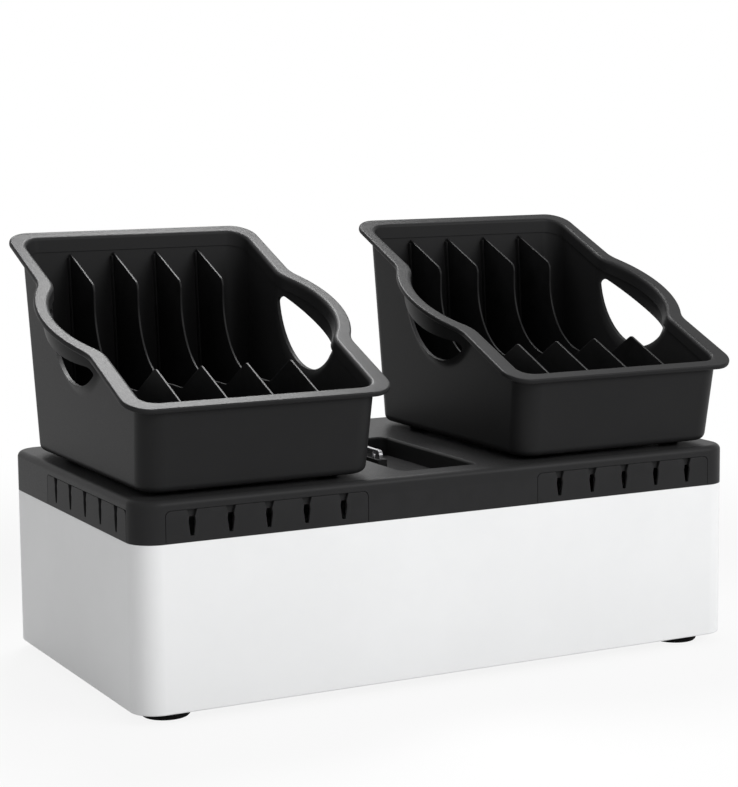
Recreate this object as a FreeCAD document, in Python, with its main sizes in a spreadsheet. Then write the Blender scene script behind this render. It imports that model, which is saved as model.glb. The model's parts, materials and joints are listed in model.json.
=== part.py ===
import FreeCAD
import Part
import Sketcher
import math
import os
import re
from FreeCAD import Rotation, Vector

# Charging station organizer: two portable trays with dividers on a lockable power base.
# Millimetres, +Z up, front towards -Y. The origin lies under the middle of the base, on the floor.

SIZES = (
    # White base
    ("base_width", 630, "outer width of the base"),
    ("base_depth", 344, "outer depth of the base"),
    ("base_height", 152.5, "height of the white walls"),
    ("base_corner", 25, "radius of the upright corners"),
    ("base_floor", 4, "thickness of the floor"),
    ("base_edge", 1.5, "rounding of the lower edge"),
    ("lip_wall", 2.2, "thickness of the lip that locates the lid"),
    ("lip_height", 3, "height of that lip"),
    ("foot_height", 10, "height of a rubber foot"),
    ("foot_radius", 24, "radius of a rubber foot at its top"),
    ("foot_taper", 2, "how much smaller its lower face is"),
    ("foot_inset", 39, "foot centre from the base's sides"),
    ("foot_seat", 5, "depth of rubber above the screw head"),
    ("foot_band", 2, "straight band at a foot's top"),
    ("foot_edge", 1.2, "bevel round a foot's lower face"),
    # Lid
    ("lid_height", 39, "height of the lid"),
    ("lid_round", 6, "rounding of the lid's top edge"),
    ("lid_wall", 3, "thickness of the lid's skirt"),
    ("lid_roof", 3, "thickness of the lid's top"),
    ("lid_gap", 0.4, "play between the lid and what it fits round"),
    ("well_width", 80, "width of the sunken well"),
    ("well_length", 189, "length of the well"),
    ("well_depth", 18.5, "depth of the well"),
    ("well_back", 46, "back end of the well"),
    ("well_corner", 7, "radius of the well's corners"),
    ("well_round", 3, "rounding of the well's upper edge"),
    ("rib_wall", 2, "thickness of the ribs that keep cords down in the slots"),
    ("rib_gap", 1, "rib behind the lid's skirt"),
    ("rib_low", 22, "lower edge of a rib above the base's rim"),
    ("collar_height", 8.5, "height of the collar round the padlock eye"),
    ("collar_wall", 3, "wall of that collar"),
    # Padlock eye and its post
    ("eye_thick", 4, "thickness of the steel eye"),
    ("eye_length", 38, "length of the steel eye"),
    ("eye_bore", 6.6, "bore for a padlock's shackle"),
    ("eye_web", 1.8, "steel above that bore"),
    ("eye_set", 12, "bore's centre from the front end of the eye"),
    ("eye_corner", 5, "rounding of the eye's upper corners"),
    ("eye_forward", 4, "middle of the eye in front of the middle of the base"),
    ("eye_top", 1.5, "top of the eye below the lid's top"),
    ("eye_foot", 34, "width of the foot plate of the eye"),
    ("post_width", 46, "width of the moulded post"),
    ("post_depth", 52, "depth of the moulded post"),
    ("post_wall", 3.5, "wall of the post"),
    ("post_drop", 4, "top of the post below the base's rim"),
    # Cord combs
    ("comb_height", 29, "height of a cord comb"),
    ("comb_margin", 24.7, "end slot to the end of the comb"),
    ("comb_corner", 5, "radius of its upper corners"),
    ("comb_end", 126.2, "middle of a front comb from the end of the base"),
    ("front_pitch", 36.9, "slot spacing at the front"),
    ("side_pitch", 40, "slot spacing at the sides"),
    ("side_place", 43, "middle of a side comb in front of the middle of the base"),
    ("clip_wall", 2, "wall of the clip behind a comb"),
    ("clip_leg", 14, "leg of the clip inside the base"),
    ("slot_mouth", 10, "width of a slot at its mouth"),
    ("slot_neck", 5.4, "width of a slot at its neck"),
    ("slot_belly", 6.8, "width of a slot at its belly"),
    ("slot_tip", 3.2, "width of a slot at its lower end"),
    ("slot_low", 5.6, "lower end of a slot above the base's rim"),
    ("slot_over", 1, "how far a slot's flare runs on above the comb"),
    ("neck_height", 22.5, "height of the neck above the rim"),
    ("belly_height", 18, "height of the belly above the rim"),
    # Trays
    ("tray_end", 124.5, "middle of a tray from the end of the base"),
    ("tray_forward", 12.3, "middle of a tray in front of the middle of the base"),
    ("tray_width", 224.6, "width of a tray's floor"),
    ("tray_depth", 293.3, "depth of a tray's floor"),
    ("tray_wall", 3, "wall of a tray"),
    ("tray_floor", 3, "floor of a tray"),
    ("tray_corner", 22, "radius of its upright corners"),
    ("tray_sole", 8, "rounding of its lower edge"),
    ("side_draft", 2.35, "slope of the side walls in degrees"),
    ("front_draft", 8.9, "slope of the front wall in degrees"),
    ("back_draft", 3.7, "slope of the back wall in degrees"),
    ("pad_height", 3.6, "height of the rubber pads under a tray"),
    ("pad_radius", 10, "radius of those pads"),
    ("pad_inset", 32, "pad centre from the edges of the floor"),
    ("pad_edge", 1, "bevel round a pad's lower face"),
    ("rim_height", 143.5, "height of the rim over the middle of the floor"),
    ("rim_slope", 22, "slope of the rim in degrees"),
    ("rim_front", 177.4, "front edge of the rim from its middle, along the slope"),
    ("rim_back", 181.9, "back edge of the rim from its middle, along the slope"),
    ("rim_width", 261, "width over the straight sides of the rim"),
    ("rim_thick", 5, "thickness of the rim"),
    ("rim_corner", 24, "radius of the rim's corners"),
    ("rim_round", 1.8, "rounding of the rim's outer edges"),
    ("rim_lead", 4.5, "rounding of the rim's inner edge"),
    ("brim_height", 13, "height of the thicker band inside the rim"),
    ("brim_step", 1, "how far that band stands in from the wall"),
    ("brim_width", 13, "rim's width over the band at a grip"),
    ("brim_blend", 36, "radius where the band swells out at a grip"),
    # Grips
    ("ear_reach", 20.5, "how far the rim swells out at a grip"),
    ("ear_radius", 133, "radius of that swelling"),
    ("ear_fillet", 36, "radius where it runs into the straight rim"),
    ("ear_overhang", 6, "rim beyond the wall at a grip"),
    ("bulge_radius", 112, "radius of the wall's bulge at a grip"),
    ("bulge_rise", 8, "centre of the bulge above the rim"),
    ("bulge_blend", 14, "radius where the bulge runs into the wall"),
    ("grip_radius", 73, "radius of the hand hole's lower edge"),
    ("grip_rise", 10.5, "centre of that radius above the rim"),
    ("grip_drop", 27.5, "middle of the hand hole's upper edge below the rim"),
    ("grip_arch", 250, "radius of that upper edge, which dips in the middle"),
    ("grip_corner", 5, "radius of the hand hole's corners"),
    # Dividers
    ("divider_thick", 2.2, "thickness of a divider"),
    ("divider_pitch", 44.7, "spacing of the dividers"),
    ("divider_play", 0.4, "play of a divider in its guides"),
    ("divider_drop", 16, "upper edge of a divider below the rim"),
    ("divider_knee", 10, "rounding of a divider's knee"),
    ("divider_peak", 6, "rounding of a divider's front peak"),
    ("scoop_back", 88.5, "back of the scoop from the middle of the tray"),
    ("scoop_low", 74, "lowest point of the scoop above the floor"),
    ("scoop_radius", 70, "radius of the scoop"),
    ("scoop_front", 23, "front of the scoop's flat from the middle"),
    ("scoop_bend", 16, "radius at the front of the scoop"),
    ("peak_front", 68, "front peak from the middle of the tray"),
    ("guide_wall", 1.6, "thickness of a guide rib"),
    ("guide_depth", 5, "depth of a guide rib"),
    ("guide_drop", 11.5, "upper end of a guide rib below the rim"),
    # Power strip
    ("strip_length", 560, "length of the power strip"),
    ("strip_width", 62, "width of the power strip"),
    ("strip_height", 44, "height of the strip's housing"),
    ("strip_cover", 3, "thickness of the strip's cover"),
    ("strip_round", 5, "rounding of the strip's corners"),
    ("strip_gap", 6, "strip from the back wall"),
    ("strip_tab", 6, "thickness of the strip's screw tabs"),
    ("outlet_pitch", 50, "spacing of the outlets"),
    ("outlet_width", 34, "width of an outlet insert"),
    ("outlet_depth", 28, "depth of an outlet insert"),
    ("outlet_proud", 1, "outlet insert above the cover"),
    ("outlet_body", 12, "depth of an outlet insert below the cover"),
    ("outlet_corner", 4.5, "radius of an outlet insert's corners"),
    ("blade_width", 2, "width of an outlet's flat slots"),
    ("blade_height", 8, "length of those slots"),
    ("blade_spread", 6.3, "slot from the middle of the outlet"),
    ("blade_step", 3, "slots behind the middle of the outlet"),
    ("earth_radius", 2.4, "radius of an outlet's earth hole"),
    ("earth_step", 6.5, "earth hole in front of the middle"),
    ("rocker_length", 20, "length of the rocker"),
    ("rocker_width", 13, "width of the rocker"),
    ("rocker_tilt", 12, "full tilt of the rocker in degrees"),
    ("rocker_place", 262, "middle of the rocker from the middle of the strip"),
    ("rocker_rise", 2, "rocker's middle above the cover"),
    ("rocker_sink", 4, "rocker's middle below the cover"),
    ("rocker_play", 0.8, "play round the rocker"),
    ("bezel_wall", 1.2, "wall of the sleeve round the rocker"),
    ("bezel_rim", 2.2, "width of the rim round the rocker"),
    ("bezel_rise", 1.5, "height of that rim"),
    ("bezel_depth", 5, "sleeve below the cover"),
    # Mains inlet
    ("inlet_width", 28, "width of the inlet's body"),
    ("inlet_height", 20, "height of the inlet's body"),
    ("inlet_flange", 48, "width of the inlet's flange"),
    ("inlet_plate", 2, "thickness of the inlet's flange"),
    ("inlet_margin", 3, "flange above and below the body"),
    ("inlet_corner", 4, "radius of the flange's corners"),
    ("inlet_wall", 2, "wall of the inlet's body"),
    ("pin_width", 2, "width of an inlet pin"),
    ("pin_height", 4, "height of an inlet pin"),
    ("pin_spread", 7, "outer pin from the middle of the inlet"),
    ("pin_step", 2, "pins above and below the middle"),
    ("pin_recess", 3, "pins' ends behind the wall's outer face"),
    ("inlet_end", 75, "middle of the inlet from the right end of the base"),
    ("inlet_level", 32, "height of the inlet above the base's underside"),
    # Fasteners and fits
    ("screw_shank", 3.5, "diameter of a screw's shank"),
    ("screw_head", 7, "diameter of a screw's head"),
    ("screw_rise", 2.4, "height of a screw's head"),
    ("screw_reach", 9, "length of a screw's shank"),
    ("screw_edge", 1, "screw head to the edge of what it holds"),
    ("screw_room", 1, "hole beyond a screw's tip"),
    ("screw_tip", 2.1, "diameter of a screw's tip"),
    ("screw_band", 1, "straight edge of a screw's head"),
    ("screw_crown", 5, "diameter of the flat on a screw's head"),
    ("screw_socket", 2.4, "diameter of the recess in a screw's head"),
    ("screw_dip", 1.2, "depth of that recess"),
    ("fit_gap", 0.3, "play between pieces that fit together"),
)

doc = FreeCAD.newDocument("charging_station")
sheet = doc.addObject("Spreadsheet::Sheet", "Sizes")
NAMES = set()
for row, (alias, number, words) in enumerate(SIZES, start=1):
    sheet.set("A%d" % row, words)
    sheet.set("B%d" % row, str(number))
    sheet.setAlias("B%d" % row, alias)
    NAMES.add(alias)
doc.recompute()

SIDES = (("left", -1), ("right", 1))
CORNERS = ((-1, -1), (1, -1), (1, 1), (-1, 1))
OUTLETS = 10
SLOTS = 5
DIVIDERS = 4
TINY = 1e-4

# Lengths that follow from the sizes above
WALL = "(lid_wall + lid_gap + lip_wall)"
SEAM = "(foot_height + base_height)"
LID_TOP = "(foot_height + base_height + lid_height)"
TRAY_LOW = "(foot_height + base_height + lid_height + pad_height)"
WELL_FLOOR = "(lid_height - well_depth)"
POST_TOP = "(base_height - post_drop)"
EAR_EDGE = "(rim_width / 2 + ear_reach)"
BULGE_EDGE = "(rim_width / 2 + ear_reach - ear_overhang)"
STRIP_MID = "(base_depth / 2 - (lid_wall + lid_gap + lip_wall) - strip_gap - strip_width / 2)"
GUIDE_GAP = "(divider_thick + 2 * divider_play)"
INLET_X = "(base_width / 2 - inlet_end)"
COMB_X = "(base_width / 2 - comb_end)"
TRAY_X = "(base_width / 2 - tray_end)"
BORE = "(screw_shank / 2 + fit_gap / 2)"


def formula(text):
    """Point the size names in a formula at the sheet."""
    return re.sub(r"[a-z_]+", lambda word: ("Sizes." if word.group() in NAMES else "") + word.group(), text)


def value(text):
    """Work out a formula of sizes as a number."""
    result = sheet.evalExpression(text)
    return float(getattr(result, "Value", result))


def tie(item, **formulas):
    """Bind properties of an object to formulas of sizes."""
    for name, text in formulas.items():
        item.setExpression(name, formula(text))


def move(item, x="0", y="0", z="0"):
    """Bind an object's place to formulas of sizes."""
    for axis, text in zip("xyz", (x, y, z)):
        item.setExpression("Placement.Base." + axis, formula(text))


def rim_place(item, across, along, above):
    """Bind an object's place in the slanted plane of a tray's rim, turned with it."""
    sine = "sin(rim_slope * 1 deg)"
    cosine = "cos(rim_slope * 1 deg)"
    item.Placement.Rotation = Rotation(Vector(1, 0, 0), value("rim_slope"))
    move(item, across, "(%s) * %s - (%s) * %s" % (along, cosine, above, sine),
         "rim_height + (%s) * %s + (%s) * %s" % (along, sine, above, cosine))


def named(item, label):
    """Give the finished sub-part the label that names its file."""
    item.Label = label
    FINISHED.append(item)
    return item


FINISHED = []


# Bodies made of sketches

def new_body(label):
    """Start a sub-part that is built up from sketches."""
    return named(doc.addObject("PartDesign::Body", label + "_body"), label)


def draw(body, plane, level, outlines):
    """Draw closed outlines on one of the body's planes, raised to a level."""
    sketch = body.newObject("Sketcher::SketchObject", body.Name + "_sketch")
    origin = [item for item in body.Origin.OriginFeatures if item.Role == plane][0]
    sketch.AttachmentSupport = [(origin, "")]
    sketch.MapMode = "FlatFace"
    sketch.setExpression("AttachmentOffset.Base.z", formula(level))
    for outline in outlines:
        outline(sketch)
    return sketch


def fix(sketch, geometry, point, x, y):
    """Bind a point of a sketch to a pair of formulas."""
    for kind, text in (("DistanceX", x), ("DistanceY", y)):
        index = sketch.addConstraint(Sketcher.Constraint(kind, geometry, point, value(text)))
        sketch.setExpression("Constraints[%d]" % index, formula(text))


def polygon(corners):
    """Closed outline of straight lines; each corner is a pair of formulas."""
    def outline(sketch):
        first = sketch.GeometryCount
        count = len(corners)
        spots = [Vector(value(x), value(y), 0) for x, y in corners]
        for i in range(count):
            sketch.addGeometry(Part.LineSegment(spots[i], spots[(i + 1) % count]), False)
        for i in range(count):
            sketch.addConstraint(Sketcher.Constraint("Coincident", first + i, 2, first + (i + 1) % count, 1))
        for i, (x, y) in enumerate(corners):
            fix(sketch, first + i, 1, x, y)
    return outline


def circle(radius, x, y):
    """Circle round a centre, in formulas."""
    def outline(sketch):
        number = sketch.GeometryCount
        sketch.addGeometry(Part.Circle(Vector(value(x), value(y), 0), Vector(0, 0, 1), value(radius)), False)
        fix(sketch, number, 3, x, y)
        index = sketch.addConstraint(Sketcher.Constraint("Radius", number, value(radius)))
        sketch.setExpression("Constraints[%d]" % index, formula(radius))
    return outline


def frame(width, depth, radius, x="0", y="0"):
    """Rectangle with round corners: arcs bound by centre and radius, tangent lines between them."""
    def outline(sketch):
        first = sketch.GeometryCount
        size = value(radius)
        centres = [("%s + %d * ((%s) / 2 - (%s))" % (x, i, width, radius),
                    "%s + %d * ((%s) / 2 - (%s))" % (y, k, depth, radius)) for i, k in CORNERS]
        arcs = []
        for quarter, (a, b) in enumerate(centres):
            turn = math.pi / 2 * (quarter + 2)
            base = Part.Circle(Vector(value(a), value(b), 0), Vector(0, 0, 1), size)
            arcs.append(Part.ArcOfCircle(base, turn, turn + math.pi / 2))
        for i, arc in enumerate(arcs):
            sketch.addGeometry(arc, False)
            sketch.addGeometry(Part.LineSegment(arc.EndPoint, arcs[(i + 1) % 4].StartPoint), False)
        for i in range(4):
            arc = first + 2 * i
            following = first + (2 * i + 2) % 8
            sketch.addConstraint(Sketcher.Constraint("Tangent", arc, 2, arc + 1, 1))
            sketch.addConstraint(Sketcher.Constraint("Tangent", arc + 1, 2, following, 1))
        for i, (a, b) in enumerate(centres):
            fix(sketch, first + 2 * i, 3, a, b)
            index = sketch.addConstraint(Sketcher.Constraint("Radius", first + 2 * i, size))
            sketch.setExpression("Constraints[%d]" % index, formula(radius))
    return outline


def draw_circles(body, plane, level, radius, centres):
    """Draw circles of one radius round centres given as formulas."""
    return draw(body, plane, level, [circle(radius, x, y) for x, y in centres])


def pad(body, sketch, length, both_ways=False):
    """Raise a sketch into a solid."""
    feature = body.newObject("PartDesign::Pad", body.Name + "_pad")
    feature.Profile = sketch
    feature.SideType = "Symmetric" if both_ways else "One side"
    tie(feature, Length=length)
    doc.recompute()
    return feature


def pocket(body, sketch, depth, both_ways=False, upward=False):
    """Cut a sketch into the solid, and make sure that it does cut."""
    before = body.Tip.Shape.Volume
    feature = body.newObject("PartDesign::Pocket", body.Name + "_pocket")
    feature.Profile = sketch
    feature.SideType = "Symmetric" if both_ways else "One side"
    feature.Reversed = upward
    tie(feature, Length=depth)
    doc.recompute()
    if feature.Shape.Volume > before - TINY:
        raise ValueError("a pocket of %s cuts nothing" % body.Label)
    return feature


def soften(body, radius, chosen):
    """Round the edges of a body that the test picks."""
    doc.recompute()
    base = body.Tip
    picked = ["Edge%d" % i for i, edge in enumerate(base.Shape.Edges, start=1) if chosen(edge)]
    if not picked:
        raise ValueError("no edge of %s to round" % body.Label)
    feature = body.newObject("PartDesign::Fillet", body.Name + "_fillet")
    feature.Base = (base, picked)
    tie(feature, Radius=radius)
    doc.recompute()
    return feature


def repeat(body, feature, axis, length, count):
    """Repeat a feature along an axis of its own sketch."""
    pattern = body.newObject("PartDesign::LinearPattern", body.Name + "_row")
    pattern.Originals = [feature]
    pattern.Direction = (feature.Profile[0], [axis])
    tie(pattern, Length=length)
    pattern.Occurrences = count
    body.Tip = pattern
    doc.recompute()
    return pattern


def oblong(width, depth, x="0", y="0"):
    """Rectangle with sharp corners round a centre, in formulas."""
    return polygon([("%s + %d * (%s) / 2" % (x, i, width), "%s + %d * (%s) / 2" % (y, k, depth))
                    for i, k in CORNERS])


def ends(edge):
    """The two end points of an edge."""
    return edge.Vertexes[0].Point, edge.Vertexes[-1].Point


def along(axis):
    """A test for straight edges that run along one axis."""
    def test(edge):
        first, last = ends(edge)
        step = last - first
        return step.Length > TINY and abs(abs(getattr(step, axis)) - edge.Length) < TINY
    return test


def level(axis, text):
    """A test for edges that lie wholly at one coordinate."""
    number = value(text)

    def test(edge):
        return all(abs(getattr(point, axis) - number) < TINY for point in ends(edge))
    return test


def both(*tests):
    """A test that holds where all the given tests hold."""
    return lambda edge: all(test(edge) for test in tests)


# Base

def base_shell():
    """White box with a locating lip, a moulded lock post and holes for screws and the inlet."""
    body = new_body("base_shell")
    move(body, z="foot_height")
    lip = "(lid_wall + lid_gap)"
    pad(body, draw(body, "XY_Plane", "0", [frame("base_width", "base_depth", "base_corner")]), "base_height")
    soften(body, "base_edge", level("z", "0"))
    pad(body, draw(body, "XY_Plane", "base_height - base_floor",
                   [frame("base_width - 2 * " + lip, "base_depth - 2 * " + lip, "base_corner - " + lip)]),
        "lip_height + base_floor")
    room = frame("base_width - 2 * " + WALL, "base_depth - 2 * " + WALL, "base_corner - " + WALL)
    pocket(body, draw(body, "XY_Plane", "base_height + lip_height", [room]),
           "base_height + lip_height - base_floor")
    post = oblong("post_width", "post_depth", "0", "-eye_forward")
    pad(body, draw(body, "XY_Plane", "base_floor", [post]), POST_TOP + " - base_floor")
    core = oblong("post_width - 2 * post_wall", "post_depth - 2 * post_wall", "0", "-eye_forward")
    pocket(body, draw(body, "XY_Plane", "0", [core]), POST_TOP + " - 2 * post_wall", upward=True)
    for centres in (foot_centres(), strip_feet()):
        pocket(body, draw_circles(body, "XY_Plane", "base_floor", BORE, centres), "base_floor")
    pocket(body, draw_circles(body, "XY_Plane", POST_TOP, BORE, post_screws()), "2 * post_wall")
    back = "-base_depth / 2 + %s / 2" % WALL
    window = oblong("inlet_width + 2 * fit_gap", "inlet_height + 2 * fit_gap", INLET_X, "inlet_level")
    pocket(body, draw(body, "XZ_Plane", back, [window]), "2 * " + WALL, both_ways=True)
    pocket(body, draw_circles(body, "XZ_Plane", back, BORE, inlet_screws()), "2 * " + WALL, both_ways=True)


def foot_centres():
    """Centres of the four feet."""
    return [("%d * (base_width / 2 - foot_inset)" % i, "%d * (base_depth / 2 - foot_inset)" % k)
            for i, k in CORNERS]


def post_screws():
    """Places of the two screws that hold the padlock eye."""
    half = "(eye_foot / 2 - screw_head / 2 - screw_edge)"
    return [("%d * %s" % (sign, half), "-eye_forward") for side, sign in SIDES]


def strip_feet():
    """Places of the screws that hold the power strip to the floor."""
    return [("%d * (strip_length / 2 + screw_head)" % sign, STRIP_MID) for side, sign in SIDES]


def inlet_screws():
    """Places of the inlet's two screws on the back wall."""
    half = "(inlet_flange / 2 - screw_head / 2 - screw_edge)"
    return [("%s + %d * %s" % (INLET_X, sign, half), "inlet_level") for side, sign in SIDES]


def revolve(label, profile, places, turn=None):
    """Group of equal turned pieces: a half section of radius and height, set at several places."""
    solids = []
    for number, place in enumerate(places):
        piece = doc.addObject("Part::Feature", "%s_%d" % (label, number))
        corners = [Vector(radius, 0, height) for radius, height in profile]
        face = Part.Face(Part.makePolygon(corners + corners[:1]))
        piece.Shape = face.revolve(Vector(0, 0, 0), Vector(0, 0, 1), 360)
        if turn:
            piece.Placement.Rotation = turn
        move(piece, *place)
        solids.append(piece)
    group = doc.addObject("Part::Compound", label + "_group")
    group.Links = solids
    return named(group, label)


def screw_profile():
    """Half section of a pan-head screw whose head rests on z = 0."""
    head = value("screw_head / 2")
    crown = value("screw_crown / 2")
    socket = value("screw_socket / 2")
    shank = value("screw_shank / 2")
    tip = value("screw_tip / 2")
    rise = value("screw_rise")
    band = value("screw_band")
    reach = value("screw_reach")
    dip = value("screw_rise - screw_dip")
    return [(0, -reach), (tip, -reach), (shank, shank - reach), (shank, 0), (head, 0), (head, band),
            (crown, rise), (socket, rise), (socket, dip), (0, dip)]


def feet():
    """Four tapered rubber feet, each with a recess for its screw."""
    top = value("foot_radius")
    low = value("foot_radius - foot_taper")
    high = value("foot_height")
    seat = value("foot_height - foot_seat")
    bore = value(BORE)
    recess = value("screw_head / 2 + screw_edge")
    band = value("foot_height - foot_band")
    edge = value("foot_edge")
    profile = [(bore, high), (top, high), (top, band), (low, edge), (low - edge, 0), (recess, 0),
               (recess, seat), (bore, seat)]
    revolve("rubber_feet", profile, [(x, y, "0") for x, y in foot_centres()])
    revolve("foot_screws", screw_profile(), [(x, y, "foot_height - foot_seat") for x, y in foot_centres()],
            Rotation(Vector(1, 0, 0), 180))


# Padlock eye

def lock_eye():
    """Steel eye on a foot plate, screwed to the post and reaching up through the lid."""
    body = new_body("lock_eye")
    move(body, y="-eye_forward", z="foot_height + " + POST_TOP)
    reach = "(lid_height + post_drop - eye_top)"
    plate = oblong("eye_length", reach, "0", reach + " / 2")
    pad(body, draw(body, "YZ_Plane", "0", [plate]), "eye_thick", both_ways=True)
    soften(body, "eye_corner", both(along("x"), level("z", reach)))
    pad(body, draw(body, "XY_Plane", "0", [frame("eye_foot", "eye_length", "eye_thick")]), "eye_thick")
    centre = [("-eye_length / 2 + eye_set", reach + " - eye_web - eye_bore / 2")]
    pocket(body, draw_circles(body, "YZ_Plane", "0", "eye_bore / 2", centre), "2 * eye_thick", both_ways=True)
    holes = [(x, "0") for x, y in post_screws()]
    pocket(body, draw_circles(body, "XY_Plane", "eye_thick", BORE, holes), "eye_thick")
    revolve("lock_eye_screws", screw_profile(),
            [(x, y, "foot_height + %s + eye_thick" % POST_TOP) for x, y in post_screws()])


# Cord combs

def comb_width(pitch):
    """Width of a comb with slots at a given spacing."""
    return "(%d * %s + 2 * comb_margin)" % (SLOTS - 1, pitch)


def comb(label, pitch, place, turn):
    """Comb with keyhole slots, clipped over the base's lip and flush with the lid's skirt."""
    body = new_body(label)
    body.Placement.Rotation = Rotation(Vector(0, 0, 1), turn)
    move(body, *place, SEAM)
    width = comb_width(pitch)
    panel = oblong(width, "comb_height", "0", "comb_height / 2")
    pad(body, draw(body, "XZ_Plane", "-lid_wall", [panel]), "lid_wall")
    soften(body, "comb_corner", both(along("y"), level("z", "comb_height")))
    shelf = "(lip_height + fit_gap)"
    deep = "(%s + fit_gap + clip_wall)" % WALL
    bridge = oblong(width, "clip_wall", "0", shelf + " + clip_wall / 2")
    pad(body, draw(body, "XZ_Plane", "-" + deep, [bridge]), deep + " - lid_wall")
    leg = oblong(width, "clip_leg + " + shelf, "0", "(%s - clip_leg) / 2" % shelf)
    pad(body, draw(body, "XZ_Plane", "-" + deep, [leg]), "clip_wall")
    first = "-%d * %s / 2" % (SLOTS - 1, pitch)
    steps = (("slot_tip", "slot_low"), ("slot_belly", "belly_height"), ("slot_neck", "neck_height"),
             ("slot_mouth", "comb_height + slot_over"))
    right = [("%s + %s / 2" % (first, wide), high) for wide, high in steps]
    left = [("%s - %s / 2" % (first, wide), high) for wide, high in reversed(steps)]
    outline = draw(body, "XZ_Plane", "-lid_wall / 2", [polygon(right + left)])
    slot = pocket(body, outline, "3 * lid_wall", both_ways=True)
    repeat(body, slot, "H_Axis", "%d * %s" % (SLOTS - 1, pitch), SLOTS)


def combs():
    """Two combs at the front and one on each side."""
    for side, sign in SIDES:
        comb("front_%s_comb" % side, "front_pitch", ("%d * %s" % (sign, COMB_X), "-base_depth / 2"), 0)
        comb("%s_side_comb" % side, "side_pitch", ("%d * base_width / 2" % sign, "-side_place"), 90 * sign)


# Lid

def lid():
    """Lift-off lid with a sunken well, a collar round the padlock eye and windows for the combs."""
    body = new_body("lid")
    move(body, z=SEAM)
    pad(body, draw(body, "XY_Plane", "0", [frame("base_width", "base_depth", "base_corner")]), "lid_height")
    soften(body, "lid_round", level("z", "lid_height"))
    room = frame("base_width - 2 * lid_wall", "base_depth - 2 * lid_wall", "base_corner - lid_wall")
    pocket(body, draw(body, "XY_Plane", "0", [room]), "lid_height - lid_roof", upward=True)
    middle = "(well_back - well_length / 2)"
    basin = frame("well_width + 2 * lid_roof", "well_length + 2 * lid_roof", "well_corner + lid_roof",
                  "0", middle)
    pad(body, draw(body, "XY_Plane", WELL_FLOOR + " - lid_roof", [basin]), "well_depth + lid_roof / 2")
    well = frame("well_width", "well_length", "well_corner", "0", middle)
    pocket(body, draw(body, "XY_Plane", "lid_height", [well]), "well_depth")
    half = value("well_width / 2") + TINY
    on_top = level("z", "lid_height")
    soften(body, "well_round", lambda edge: on_top(edge) and all(abs(point.x) < half for point in ends(edge)))
    collar = frame("eye_thick + 2 * (lid_gap + collar_wall)", "eye_length + 2 * (lid_gap + collar_wall)",
                   "collar_wall / 2", "0", "-eye_forward")
    pad(body, draw(body, "XY_Plane", WELL_FLOOR, [collar]), "collar_height")
    through = oblong("eye_thick + 2 * lid_gap", "eye_length + 2 * lid_gap", "0", "-eye_forward")
    pocket(body, draw(body, "XY_Plane", WELL_FLOOR + " + collar_height", [through]),
           "collar_height + lid_roof")
    high = "(comb_height + lid_gap)"
    for pitch, place, plane, offset in (
            ("front_pitch", "-" + COMB_X, "XZ_Plane", "base_depth / 2 - lid_wall / 2"),
            ("front_pitch", COMB_X, "XZ_Plane", "base_depth / 2 - lid_wall / 2"),
            ("side_pitch", "-side_place", "YZ_Plane", "-base_width / 2 + lid_wall / 2"),
            ("side_pitch", "-side_place", "YZ_Plane", "base_width / 2 - lid_wall / 2")):
        window = oblong(comb_width(pitch) + " + 2 * lid_gap", "2 * " + high, place, "0")
        pocket(body, draw(body, plane, offset, [window]), "2 * lid_wall", both_ways=True)
    top = level("z", high)
    soften(body, "comb_corner", both(top, lambda edge: abs(edge.Length - value("lid_wall")) < TINY))
    inset = "(lid_wall + rib_gap + rib_wall / 2)"
    ribs = []
    for side, sign in SIDES:
        ribs.append(oblong(comb_width("front_pitch"), "rib_wall",
                           "%d * %s" % (sign, COMB_X), "-base_depth / 2 + " + inset))
        ribs.append(oblong("rib_wall", comb_width("side_pitch"),
                           "%d * (base_width / 2 - %s)" % (sign, inset), "-side_place"))
    pad(body, draw(body, "XY_Plane", "rib_low", ribs), "lid_height - lid_roof / 2 - rib_low")


# Trays

def wedge(label, low, high, width, depth, inset):
    """Drafted block of a tray between two heights, its walls set in from the outer ones."""
    block = doc.addObject("Part::Wedge", label)

    def edge(size, draft, height):
        return "(%s / 2 - %s + (%s) * tan(%s * 1 deg))" % (size, inset, height, draft)

    for number, height in (("", low), ("2", high)):
        tie(block, **{"X%smin" % number: "-" + edge(width, "side_draft", height),
                      "X%smax" % number: edge(width, "side_draft", height),
                      "Z%smin" % number: "-" + edge(depth, "back_draft", height),
                      "Z%smax" % number: edge(depth, "front_draft", height)})
    tie(block, Ymin=low, Ymax=high)
    block.Placement.Rotation = Rotation(Vector(1, 0, 0), 90)
    return block


def rounded(base, radius, chosen):
    """Round the edges of an object that the test picks."""
    doc.recompute()
    feature = doc.addObject("Part::Fillet", base.Name + "_round")
    feature.Base = base
    picked = [i for i, edge in enumerate(base.Shape.Edges, start=1) if chosen(edge)]
    if not picked:
        raise ValueError("no edge of %s to round" % base.Name)
    feature.Edges = [(i, value(radius), value(radius)) for i in picked]
    doc.recompute()
    return feature


def joined(label, items):
    """One solid out of several objects."""
    feature = doc.addObject("Part::MultiFuse", label)
    feature.Shapes = items
    return feature


def less(label, base, tool):
    """An object with another cut out of it."""
    feature = doc.addObject("Part::Cut", label)
    feature.Base = base
    feature.Tool = tool
    return feature


def shared(label, items):
    """What several objects have in common."""
    feature = doc.addObject("Part::MultiCommon", label)
    feature.Shapes = items
    return feature


def rim_block(label, width, front, back, low, high):
    """Block in the plane of a rim, between two distances from it."""
    block = doc.addObject("Part::Box", label)
    tie(block, Length=width, Width="(%s) + (%s)" % (front, back), Height="(%s) - (%s)" % (high, low))
    rim_place(block, "-(%s) / 2" % width, "-(%s)" % front, low)
    return block


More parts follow.
